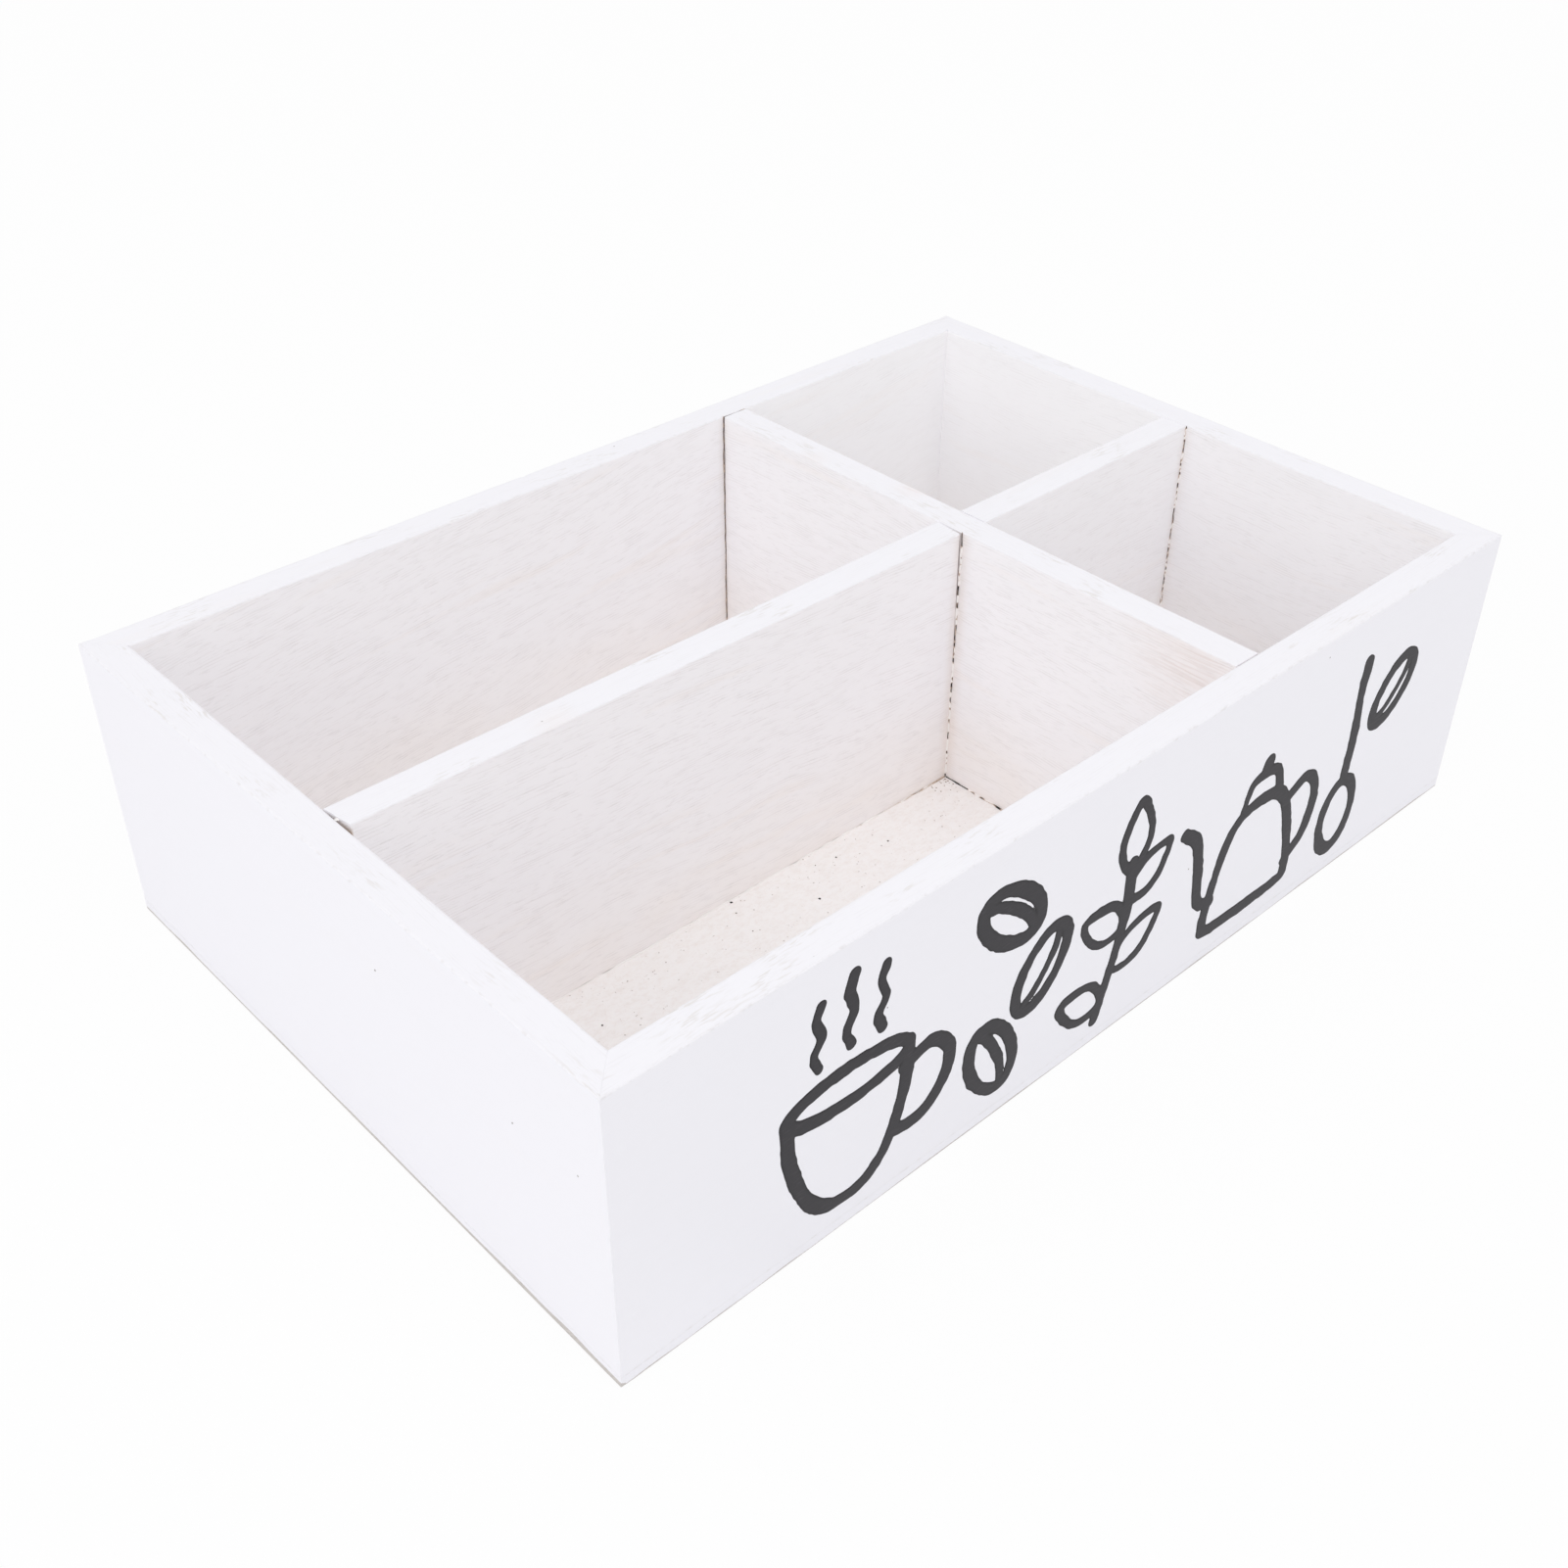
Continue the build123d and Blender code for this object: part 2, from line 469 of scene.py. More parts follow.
paint, panel, glueAndCrackShade, ink, zinc = paintedWood(), washedPanel(), driedGlueAndCrackShade(), brushedInk(), zincWire()
print("finishes mixed")

# joints: where glue was squeezed out, how thick it stands, how long its lumps are and how much they change
# its shade, how pale it is from one end to the other (where it is darkest it is painted shade in the
# cracks), and how strongly and how far it tints the boards near it
beadTop = topZ - 0.4 * mm


def upright(x, y):
    return {"from": Vector((x, y, topZ)), "to": Vector((x, y, footZ)), "out": Vector((-1, -1, 0))}


joints = {
    "longToCross": {
        **upright(crossLow.x, longLow.y),
        "radius": 0.4 * mm,
        "lump": (1 * mm, 1.3),
        "level": (0.64, 0.85),
        "nearTint": (0.5, 4 * mm),
    },
    "shortToRight": {
        **upright(shortHigh.x, shortLow.y),
        "radius": 0.38 * mm,
        "lump": (0.7 * mm, 0.7),
        "level": (0.6, 0.66),
        "nearTint": (0.25, 3 * mm),
    },
    "crossToBack": {
        **upright(crossLow.x, crossHigh.y),
        "radius": 0.24 * mm,
        "lump": (0.9 * mm, 0.15),
        "level": (0.46, 0.5),
        "nearTint": (0.3, 2.5 * mm),
    },
    "crossTopToBack": {
        "from": Vector((crossLow.x, crossHigh.y, beadTop)),
        "to": Vector((crossHigh.x, crossHigh.y, beadTop)),
        "out": Vector((0, -1, 1)),
        "radius": 0.24 * mm,
        "lump": (1.2 * mm, 0.2),
        "level": (0.25, 0.5),
        "nearTint": (0.2, 1 * mm),
    },
    "crossToBase": {
        "from": Vector((crossLow.x, longLow.y, footZ)),
        "to": Vector((crossLow.x, crossLow.y, footZ)),
        "out": Vector((-1, 0, 1)),
        "radius": 0.42 * mm,
        "lump": (1.6 * mm, 1.1),
        "level": (0.3, 0.75),
        "nearTint": (0.3, 4 * mm),
    },
    "longToBase": {
        "from": Vector((longLow.x, longLow.y, footZ)),
        "to": Vector((longHigh.x, longLow.y, footZ)),
        "out": Vector((0, -1, 1)),
        "radius": 0.46 * mm,
        "lump": (1.5 * mm, 0.15),
        "level": (2.1, 0.56),
        "nearTint": (0.1, 5 * mm),
    },
}

# boards
skin = {"depth": 0.15 * mm, "waves": [(0.05 * mm, 45 * mm, 3.1), (0.01 * mm, 6 * mm, 8.7)]}
sanding = {
    "radius": 0.45 * mm,
    "least": 0.25 * mm,
    "waves": [(0.12 * mm, 14 * mm, 21.3), (0.06 * mm, 2.6 * mm, 5.9)],
    "corner": 0.4,  # what is left of it along the walls' upright corners
    "cornerSpan": (1 * mm, 4 * mm),
    "foot": 0.12,  # and at the foot
    "footHeight": 3 * mm,
}
# knocked edges: where, how far round and how deep
knocks = [
    (Vector((110.8 * mm, outLow.y, topZ)), 2.2 * mm, 0.8 * mm),
    (Vector((outLow.x, outLow.y, 0)), 3.5 * mm, 1.4 * mm),
    (Vector((outLow.x, 31.7 * mm, topZ)), 1.8 * mm, 0.5 * mm),
    (Vector((-20 * mm, outHigh.y, topZ)), 2 * mm, 0.6 * mm),
    (Vector((outHigh.x, -42 * mm, footZ)), 3 * mm, 0.7 * mm),
]
# places where the paint went on so thin that the wood shows: on which face, where and how far round
thinPaint = [
    ("inner", Vector((crossLow.x, -80 * mm, 76 * mm)), 28 * mm),
    ("top", Vector((-86 * mm, longLow.y, topZ)), 9 * mm),
    ("top", Vector((crossLow.x, 54 * mm, topZ)), 7 * mm),
    ("top", Vector((crossHigh.x, 22 * mm, topZ)), 8 * mm),
]
# painted light: the small bays are painted paler inside, the back one most, standing in for the light that
# fills them
bayLightShare = {"bays": (0.4, 1), "soft": 1 * mm}
boardMake = {
    "depthStep": 1.6 * mm,
    "closeCuts": np.array([0, 0.12, 0.28, 0.5, 0.8, 1.3]) * mm,  # the points nearest an edge
    "blend": 5 * mm,  # how far in from an end the skin's sinking evens out
    "faceTurn": 0.5 * mm,  # how near an edge one face's paint gives way to the next one's
    "edgeWidth": 0.8 * mm,
    "insideGuard": 0.7,  # inside the box the edges' wear and painted shade are this much less
    "cornerWearAndShade": 0.15,  # the upright corners get hardly any wear or painted shade
    "thinTop": 0.7,
    "floorSink": 0.35,  # the floor's skin sinks less, and the walls' feet sink with it
    "paintedShadeReach": 42 * mm,  # how high the painted warm shade climbs inside the box
    "grainStep": np.array([37.1, 51.7, 23.3]),  # from one board's grain to the next one's
}
tiny = 1e-12


# how far the painted surface lies inside the true face
def skinDepth(points):
    return skin["depth"] + ripples(points, skin["waves"])


# how round the edges are: share says how much of the sanding they got, and knocks come on top of it
def edgeRadius(points, share):
    radius = sanding["radius"] + ripples(points, sanding["waves"])
    radius = np.maximum(radius, sanding["least"]) * share
    for spot, reach, depth in knocks:
        near = np.linalg.norm(points - np.array(spot), axis=1)
        radius = radius + depth * (1 - fade(near, 0, reach))
    return radius


# how much painted light each point of the small bays gets, more towards the back
def paintedBayLight(points):
    front, back = bayLightShare["bays"]
    coats = front + (back - front) * fade(points[:, 1], shortLow.y, shortHigh.y)
    return fade(points[:, 0], crossHigh.x - bayLightShare["soft"], crossHigh.x) * coats


# places along one side of a board: close together near both ends and even between them
def cuts(length, step, fewest=3):
    close = boardMake["closeCuts"]
    close = close[close < length / 2]
    between = max(fewest, round((length - 2 * close[-1]) / step) + 1)
    middle = np.linspace(close[-1], length - close[-1], between)
    return np.concatenate([close[:-1], middle, length - close[-2::-1]])


def quadSheet(sheet, flip):
    quads = np.stack([sheet[:-1, :-1], sheet[1:, :-1], sheet[1:, 1:], sheet[:-1, 1:]], -1).reshape(-1, 4)
    return quads[:, ::-1] if flip else quads


# the outer skin of a block of lattice points: which points lie on it and the quads that join them
def blockSkin(counts, flip):
    spots = np.indices(counts)
    onSkin = np.zeros(counts, bool)
    for side in range(3):
        onSkin |= (spots[side] == 0) | (spots[side] == counts[side] - 1)
    ids = np.full(counts, -1)
    ids[onSkin] = np.arange(onSkin.sum())
    sheets = []
    for side, flipped in enumerate((not flip, flip, not flip)):
        sheets += [quadSheet(ids.take(0, side), flipped), quadSheet(ids.take(-1, side), not flipped)]
    return onSkin, np.concatenate(sheets).tolist()


# what an end loses at each height (c) and depth (d)
def mitreCut(c, d):
    return d


def nothing(*ways):
    return 0 * ways[0]


# what a board is where its own entry doesn't say otherwise
plainBoard = {
    "up": upward,
    "tall": topZ - footZ,
    "deep": thick,
    "step": 1.3 * mm,  # between points along it and up it
    "mitred": False,
    "footed": True,
    "footRise": 1,
    "round": 1,
    "sink": 1,
    "slant": 0,
    **dict.fromkeys(("startCut", "endCut", "raw", "rim"), nothing),
}


# where a board's points lie along it (a), up it (c) and through it (d), and the quads between them
def boardLattice(board):
    length = board["length"]
    aCuts, cCuts = cuts(length, board["step"]), cuts(board["tall"], board["step"])
    dCuts = cuts(board["deep"], boardMake["depthStep"])
    flip = board["along"].cross(board["up"]).dot(board["inward"]) < 0
    onSkin, quads = blockSkin((len(aCuts), len(cCuts), len(dCuts)), flip)
    lattice = np.meshgrid(aCuts / length, cCuts, dCuts, indexing="ij")
    a, c, d = (part[onSkin] for part in lattice)
    startCut, endCut = board["startCut"](c, d), board["endCut"](c, d)
    return startCut + a * (length - startCut - endCut), c, d, quads


def boardShape(board, a, c, d):
    length, tall, deep = board["length"], board["tall"], board["deep"]
    start = np.array(board["start"])
    ways = np.array([board["along"], board["up"], board["inward"]])
    local = np.stack([a, c, d], 1)

    # the sanded edges: inside the rounding a cube of points is drawn in to a ball
    share = 1
    if board["mitred"]:
        fromMitre = np.minimum(a, length - a) - d
        atCorner = 1 - fade(np.maximum(fromMitre, d), *sanding["cornerSpan"])
        share = 1 - (1 - sanding["corner"]) * atCorner
    radius = edgeRadius(start + local @ ways, share) * board["round"]
    if board["footed"]:
        radius = radius * (sanding["foot"] + (1 - sanding["foot"]) * fade(c, 0, sanding["footHeight"]))
    low = np.stack([radius * board["mitred"], radius, radius], 1)
    high = np.array([length, tall, deep]) - low
    core = np.minimum(np.maximum(local, low), high)
    out = local - core
    reach = np.linalg.norm(out, axis=1)
    local = core + out * (np.abs(out).max(axis=1) / np.maximum(reach, tiny))[:, None]

    # the skin sinks a little under the true faces, more here and less there
    sink = skinDepth(start + local @ ways) * board["sink"]
    blend = boardMake["blend"]
    depthShift = sink * (1 - 2 * local[:, 2] / deep)
    if board["mitred"]:
        nearStart = 1 - fade(a - d, 0, blend)
        nearEnd = 1 - fade(length - a - d, 0, blend)
        local[:, 0] += depthShift * (nearStart - nearEnd)
    local[:, 1] += sink * (board["footRise"] * (1 - fade(c, 0, blend)) - fade(c, tall - blend, tall))
    local[:, 2] += depthShift
    return start + local @ ways


# what the finish needs to know about each point
def boardValues(board, points, a, c, d):
    tall, deep = board["tall"], board["deep"]
    width, turn = boardMake["edgeWidth"], boardMake["faceTurn"]
    fromEdge = [1 - fade(np.minimum(x, size - x), 0, width) for x, size in ((c, tall), (d, deep))]
    inside = fade(d, deep - turn, deep) if board["mitred"] else np.ones(len(d))
    # the edges' mark: partly wear, partly painted shade, less inside the box
    edge = fromEdge[0] * fromEdge[1] * (1 - boardMake["insideGuard"] * inside)
    if board["mitred"]:
        endSide = 1 - fade(np.minimum(a, board["length"] - a), 0, width)
        edge = np.maximum(edge, boardMake["cornerWearAndShade"] * endSide * np.maximum(*fromEdge))
    top = fade(c, tall - turn, tall)
    inner = inside * (1 - top)
    halo = np.zeros(len(points))
    for joint in joints.values():
        far = farFromLine(points, joint["from"], joint["to"])
        nearTint, reach = joint["nearTint"]
        halo = np.maximum(halo, nearTint * (1 - fade(far, 0, reach)))
    bare = np.zeros(len(points))
    onFace = {"inner": inner, "top": top * boardMake["thinTop"]}
    for face, spot, reach in thinPaint:
        near = 1 - fade(np.linalg.norm(points - np.array(spot), axis=1), 0, reach)
        bare = np.maximum(bare, near * onFace[face])
    offset = boardMake["grainStep"] * (1 + board["number"])
    return {
        "grain": np.stack([a, c + d + a * board["slant"], d], 1) / mm + offset,
        "inner": inner,
        "top": top,
        "edge": edge,
        # painted shade towards the foot of the inner faces
        "low": inner * (1 - fade(c, 0, boardMake["paintedShadeReach"])),
        "halo": halo * inner,
        # painted light in the small bays, on the inner faces only
        "fresh": inner * paintedBayLight(points),
        "bare": bare,
        "raw": board["raw"](a, c, d),
        "rim": board["rim"](a, c, d),
    }


def makeBoard(name, node, plan, material):
    board = {**plainBoard, **plan}
    a, c, d, quads = boardLattice(board)
    points = boardShape(board, a, c, d)
    values = boardValues(board, points, a, c, d)
    boxPiece(name, points, quads, material, values, node)


def wallAlong(x, y, along, inward, length, **more):
    return {
        "start": Vector((x, y, footZ)),
        "along": along,
        "inward": inward,
        "length": length,
        "mitred": True,
        "startCut": mitreCut,
        "endCut": mitreCut,
        "footRise": -boardMake["floorSink"],
        **more,
    }


def dividerAlong(low, high, along, inward, **more):
    return {
        "start": low,
        "along": along,
        "inward": inward,
        "length": (high - low).dot(along),
        "round": 0.8,
        **more,
    }


# the long divider's left end was sawn out of square, so it stands off the wall at its front
longCorners = bpy.data.objects["long_divider"].data.vertices
frontFaceEnd = longLow.y + 0.1 * mm
sawnEnd = {
    "gap": min(v.co.x for v in longCorners if v.co.y < frontFaceEnd) - longLow.x,
    "soft": 0.5 * mm,
    "paintRan": (0.6 * mm, 2.4 * mm),  # how far down from the top the paint ran over it
}


def sawnCut(c, d):
    return sawnEnd["gap"] * (1 - d / thick)


# the sawn end is bare but for its top
def sawnRaw(a, c, d):
    onEnd = 1 - fade(a - sawnCut(c, d), 0, sawnEnd["soft"])
    return onEnd * fade(topZ - footZ - c, *sawnEnd["paintRan"])


# its other end stands off the cross divider, most at its top and front
crack = {"least": 0.12 * mm, "widest": 0.75 * mm, "tall": 45 * mm, "hair": (0.286 * mm, 0.154 * mm)}


def crackCut(c, d):
    opening = crack["widest"] * fade(c, topZ - footZ - crack["tall"], topZ - footZ)
    return crack["least"] + opening * (1 - d / thick)


# the cross divider stands a hair off the back wall, less on its right
def hairCut(c, d):
    left, right = crack["hair"]
    return left + (right - left) * d / thick


boxLong, boxWide = outHigh.x - outLow.x, outHigh.y - outLow.y
longEnds = {"startCut": sawnCut, "endCut": crackCut, "raw": sawnRaw}
boards = {
    "frontBoard": ("front_wall", wallAlong(outLow.x, outLow.y, across, away, boxLong)),
    "backBoard": ("back_wall", wallAlong(outHigh.x, outHigh.y, -across, -away, boxLong, slant=0.12)),
    "leftBoard": ("left_wall", wallAlong(outLow.x, outHigh.y, -away, across, boxWide)),
    "rightBoard": ("right_wall", wallAlong(outHigh.x, outLow.y, away, -across, boxWide)),
    "crossBoard": ("cross_divider", dividerAlong(crossLow, crossHigh, away, across, endCut=hairCut)),
    "longBoard": ("long_divider", dividerAlong(longLow, longHigh, across, away, slant=0.05, **longEnds)),
    "shortBoard": ("short_divider", dividerAlong(shortLow, shortHigh, across, away)),
}
for number, (name, (node, plan)) in enumerate(boards.items()):
    makeBoard(name, node, {**plan, "number": number}, paint)

# how high the base panel's edge is bare: more under the left wall and most at its front
footLine = {
    "usual": 0.5 * mm,
    "left": 0.3 * mm,
    "leftReach": 1.5 * mm,
    "corner": 0.9 * mm,
    "cornerReach": 130 * mm,
    "waves": [(0.25 * mm, 9 * mm, 4.1)],
    "soft": 0.4 * mm,
    "paint": 0.15 * mm,  # how thick the paint has built up round the panel's edge
    "paintReach": (0.2 * mm, 0.9 * mm),  # how far in from the edge it lies on the faces
}
panelLong = baseHigh.x - baseLow.x + 2 * footLine["paint"]
panelWide = baseHigh.y - baseLow.y + 2 * footLine["paint"]


def panelRaw(a, c, d):
    onLeft = 1 - fade(a, 0, footLine["leftReach"])
    toCorner = 1 - fade(c, 0, footLine["cornerReach"])
    height = footLine["usual"] + onLeft * (footLine["left"] + footLine["corner"] * toCorner)
    height += ripples(np.stack([a, c, 0 * d], 1), footLine["waves"])
    return 1 - np.clip((d - height) / footLine["soft"] + 0.5, 0, 1)


def panelRim(a, c, d):
    fromEdge = np.minimum(np.minimum(a, panelLong - a), np.minimum(c, panelWide - c))
    return 1 - fade(fromEdge, *footLine["paintReach"])


floorBoard = {
    "start": baseLow - (across + away) * footLine["paint"],
    "along": across,
    "up": away,
    "inward": upward,
    "length": panelLong,
    "tall": panelWide,
    "deep": baseHigh.z - baseLow.z,
    "step": 2 * mm,
    "footed": False,
    "round": 0.25,
    "sink": boardMake["floorSink"],
    "number": len(boards),
    "raw": panelRaw,
    "rim": panelRim,
}
makeBoard("floorBoard", "base_panel", floorBoard, panel)
print("boards cut:", len(boards) + 1)

# glue in the joints, with painted shade in their cracks
beadMake = {
    "step": 0.25 * mm,
    "sides": 9,
    "wander": 0.2 * mm,
    "sunk": 0.1 * mm,
    "runCell": 3.2 * mm,
    "thickness": [0.7, 0.35, 0.3],  # as a share of the radius, more by the lumps and along the run
    "least": 0.15,
    "end": 0.3,  # how thick the ends are, and over how many rings they swell
    "endRings": 3,
    "levelRun": 0.4,
}


def layBead(joint):
    start, end = joint["from"], joint["to"]
    out = joint["out"].normalized()
    side = (end - start).normalized().cross(out)
    out, side = np.array(out), np.array(side)
    rings = round((end - start).length / beadMake["step"]) + 1
    sides = beadMake["sides"]
    t = np.linspace(0, 1, rings)[:, None]
    centres = np.array(start) + t * np.array(end - start) - out * beadMake["sunk"]
    swings = [ripple(centres, beadMake["runCell"], seed)[:, None] for seed in (1.7, 9.2)]
    centres = centres + (out * swings[0] + side * swings[1]) * beadMake["wander"]
    angles = 2 * np.pi * np.arange(sides)[:, None] / sides
    rays = np.tile(out * np.cos(angles) + side * np.sin(angles), (rings, 1))
    centres = np.repeat(centres, sides, axis=0)
    probes = centres + rays * joint["radius"]
    lumpCell, uneven = joint["lump"]
    lump = ripple(probes, lumpCell, seed=4.4)
    run = ripple(probes, beadMake["runCell"], seed=7.3)
    fromEnd = np.minimum(np.arange(rings), rings - 1 - np.arange(rings))
    tail = np.minimum(1, beadMake["end"] + fromEnd / beadMake["endRings"])
    swell = np.maximum(beadMake["least"], weighed(beadMake["thickness"], lump, run))
    points = centres + rays * (joint["radius"] * swell * np.repeat(tail, sides))[:, None]
    level = np.repeat(np.linspace(*joint["level"], rings), sides)
    level += uneven * (lump + beadMake["levelRun"] * run)
    return points, rings, sides, level


# one piece out of tubes, each with its points, rings, sides and how pale every point is
def gluePiece(name, tubes, turnsRight):
    points, faces, levels = [], [], []
    for tubePoints, rings, sides, tubeLevels in tubes:
        faces += tubeFaces(len(points), rings, sides, turnsRight)
        points += list(tubePoints)
        levels += list(tubeLevels)
    points = np.array(points)
    values = {"grain": points / mm, "lump": np.array(levels)}
    boxPiece(name, points, faces, glueAndCrackShade, values)


gluePiece("jointGlueAndCrackShade", [layBead(joint) for joint in joints.values()], turnsRight=True)

# specks of dust and paint: what they lie on, where in millimetres, how wide they are and how pale
floorTop, leftFace, frontFace = footZ / mm, outLow.x / mm, outLow.y / mm
specks = [
    ("floor", (-37, -4.7, floorTop), 0.8, 0.1),
    ("floor", (-38.9, -8.8, floorTop), 0.5, 0.4),
    ("floor", (-3.5, -9.6, floorTop), 0.55, 0.2),
    ("floor", (-10, -8.3, floorTop), 0.35, 0.3),
    ("floor", (-18.8, -19.2, floorTop), 0.75, 0.1),
    ("floor", (-40.4, -17, floorTop), 0.4, 0.3),
    ("floor", (12, -14, floorTop), 0.6, 0.35),
    ("floor", (-90.5, -18.2, floorTop), 0.6, 0.3),
    ("left", (leftFace, -24.1, 61.1), 0.5, 0.4),
    ("left", (leftFace, -70.3, 52.7), 0.4, 0.4),
    ("front", (-77.9, frontFace, 57.7), 0.35, 0.3),
    ("top", (-140.5, 0.2, topZ / mm - 0.6), 1.3, 1),
]
# Sawdust left in the corner of the front bay. Each measure is given by its least, its reach, the stride
# that spreads it over that and how it crowds towards the least.
crumbs = {
    "count": 18,
    "level": 0.5,
    "fromCross": (1, 9, 0.755, 2.2),
    "fromLong": (0.8, 5, 0.57, 2.4),
    "wide": (0.3, 0.2, 0.732, 1),
}


def crumbMeasure(crumb, name):
    least, reach, stride, crowd = crumbs[name]
    return least + reach * (crumb * stride % 1) ** crowd


for crumb in range(crumbs["count"]):
    x = crossLow.x / mm - crumbMeasure(crumb, "fromCross")
    y = longLow.y / mm - crumbMeasure(crumb, "fromLong")
    specks.append(("floor", (x, y, floorTop), crumbMeasure(crumb, "wide"), crumbs["level"]))

# which way each face looks and how far its skin sinks
speckFaces = {
    "floor": (upward, boardMake["floorSink"]),
    "top": (upward, 1),
    "left": (-across, 1),
    "front": (-away, 1),
}
speckMake = {"rings": 5, "sides": 8, "flat": 0.35, "tallest": 0.1 * mm, "waves": [(0.3, 1, 2.2)], "reach": 3}


def laySpeck(on, place, wide, level):
    place = Vector(place)
    facing, sink = speckFaces[on]
    side = facing.orthogonal().normalized()
    other = facing.cross(side)
    centre = np.array([place * mm])
    centre = centre[0] - np.array(facing) * skinDepth(centre)[0] * sink
    halfWide = wide * mm / 2
    halfTall = min(speckMake["flat"] * halfWide, speckMake["tallest"])
    rings, sides = speckMake["rings"], speckMake["sides"]
    points = []
    for ring, turn in itertools.product(range(rings), range(sides)):
        tilt, angle = math.pi * (ring + 0.5) / rings, 2 * math.pi * turn / sides
        ray = side * math.cos(angle) + other * math.sin(angle)
        probe = np.array([ray * speckMake["reach"] + place])
        radius = halfWide * (1 + ripples(probe, speckMake["waves"])[0])
        out = ray * radius * math.sin(tilt) + facing * halfTall * math.cos(tilt)
        points.append(centre + np.array(out))
    return points, rings, sides, [level] * len(points)


gluePiece("dustSpecks", [laySpeck(*speck) for speck in specks], turnsRight=False)
print("specks scattered:", len(specks))

# filler over the brads' heads
fillerMake = {"rings": 5, "sides": 20, "margin": 0.35 * mm, "proud": 0.03 * mm, "under": 0.12 * mm}


# The box of each separate solid in a node's mesh. Its faces don't share their corners, so corners at
# one place count as one.
def looseBoxes(mesh):
    firstAt = {}
    parent = [firstAt.setdefault(tuple(round(x, 6) for x in v.co), v.index) for v in mesh.vertices]

    def root(n):
        while parent[n] != n:
            parent[n] = parent[parent[n]]
            n = parent[n]
        return n

    for edge in mesh.edges:
        parent[root(edge.vertices[0])] = root(edge.vertices[1])
    groups = {}
    for vertex in mesh.vertices:
        groups.setdefault(root(vertex.index), []).append(np.array(vertex.co))
    return [(np.min(group, axis=0), np.max(group, axis=0)) for group in groups.values()]


# a thin lens of putty over each plug, a little swollen by its paint
def fillerSpots():
    points, faces = [], []
    rings, sides = fillerMake["rings"], fillerMake["sides"]
    plugs = looseBoxes(bpy.data.objects["nail_hole_filler"].data)
    for low, high in plugs:
        centre = (low + high) / 2
        face = 0 if outHigh.x - abs(centre[0]) < outHigh.y - abs(centre[1]) else 1
        longWay = 1 - face
        side = 1 if centre[face] > 0 else -1
        centre[face] = high[face] if side > 0 else low[face]
        halfWide = (high[longWay] - low[longWay]) / 2 + fillerMake["margin"]
        halfTall = (high[2] - low[2]) / 2 + fillerMake["margin"]
        faces += tubeFaces(len(points), rings, sides, turnsRight=longWay == (side > 0))
        for ring, turn in itertools.product(range(rings), range(sides)):
            share, angle = 1 - ring / rings, 2 * math.pi * turn / sides
            lift = fillerMake["proud"] * (1 - share**2) if ring else -fillerMake["under"]
            spot = np.array(centre)
            spot[longWay] += math.cos(angle) * halfWide * share
            spot[2] += math.sin(angle) * halfTall * share
            spot[face] -= side * (skinDepth(spot[None])[0] - lift)
            points.append(spot)
    points = np.array(points)
    values = {"grain": points / mm, **{mask: np.zeros(len(points)) for mask in paintMasks}}
    boxPiece("fillerSpots", points, faces, paint, values, "nail_hole_filler")
    return len(plugs)


print("filler spots:", fillerSpots())

# brads keep their CAD shape
for node in ("corner_brads", "divider_brads", "base_brads"):
    brads = bpy.data.objects[node]
    brads.data.materials.clear()
    brads.data.materials.append(zinc)

# drawing on the front: a row of plain coffee table things in brush strokes
drawing = {
    "cell": 0.4 * mm,
    "margin": 4 * mm,
    "lift": 0.06 * mm,
    "rimLift": 0.35,  # what is left of it at a stroke's edge
    "liftWidth": 0.5 * mm,
    "under": 0.12 * mm,
    "rimWidth": 0.7 * mm,
    "waves": [(0.22 * mm, 1.6 * mm, 2.3), (0.3 * mm, 9 * mm, 11.9)],  # how its outline wanders
    "snap": 0.02,  # how near a grid point an outline may cross a cell's side, in cells
    # like the shapes below, these are in millimetres
    "stroke": 1.95,  # half of a stroke's width
    "fineStroke": 1.45,
    "swells": [(0.09, 7, 6.1)],
    "runStep": 0.3,
    "search": 5,
}


# points given along and across a motif, turned by lean and moved to its place
def leaned(points, x, z, lean):
    cosine, sine = math.cos(math.radians(lean)), math.sin(math.radians(lean))
    return [(x + u * cosine - v * sine, z + u * sine + v * cosine) for u, v in points]


# the left half of an outline, and its mirror image on the right of x
def mirrored(left, x):
    return left + [(2 * x - u, v) for u, v in left[::-1]]


def oval(x, z, halfWide, halfTall, tilt=0, corners=12):
    angles = [2 * math.pi * step / corners for step in range(corners + 1)]
    return leaned([(halfWide * math.cos(a), halfTall * math.sin(a)) for a in angles], x, z, tilt)


def bean(x, z, halfWide, halfTall, tilt):
    crease = [(-0.05, 0.9), (0.24, 0.4), (0.24, -0.4), (-0.05, -0.9)]
    crease = leaned([(u * halfWide, v * halfTall) for u, v in crease], x, z, tilt)
    return [(oval(x, z, halfWide, halfTall, tilt), "stroke"), (crease, "fineStroke")]


def leaf(x, z, length, lean, halfWide=5.5):
    outline = [(0, 0), (0.25, 0.8), (0.6, 0.85), (1, 0.05), (0.6, -0.85), (0.25, -0.8), (0, 0)]
    return leaned([(u * length, v * halfWide) for u, v in outline], x, z, lean), "fineStroke"


def steam(x, heights):
    return [(x + sway, z) for sway, z in zip((0, -1.4, 0.6, -0.8, 0.4), heights)], "fineStroke"


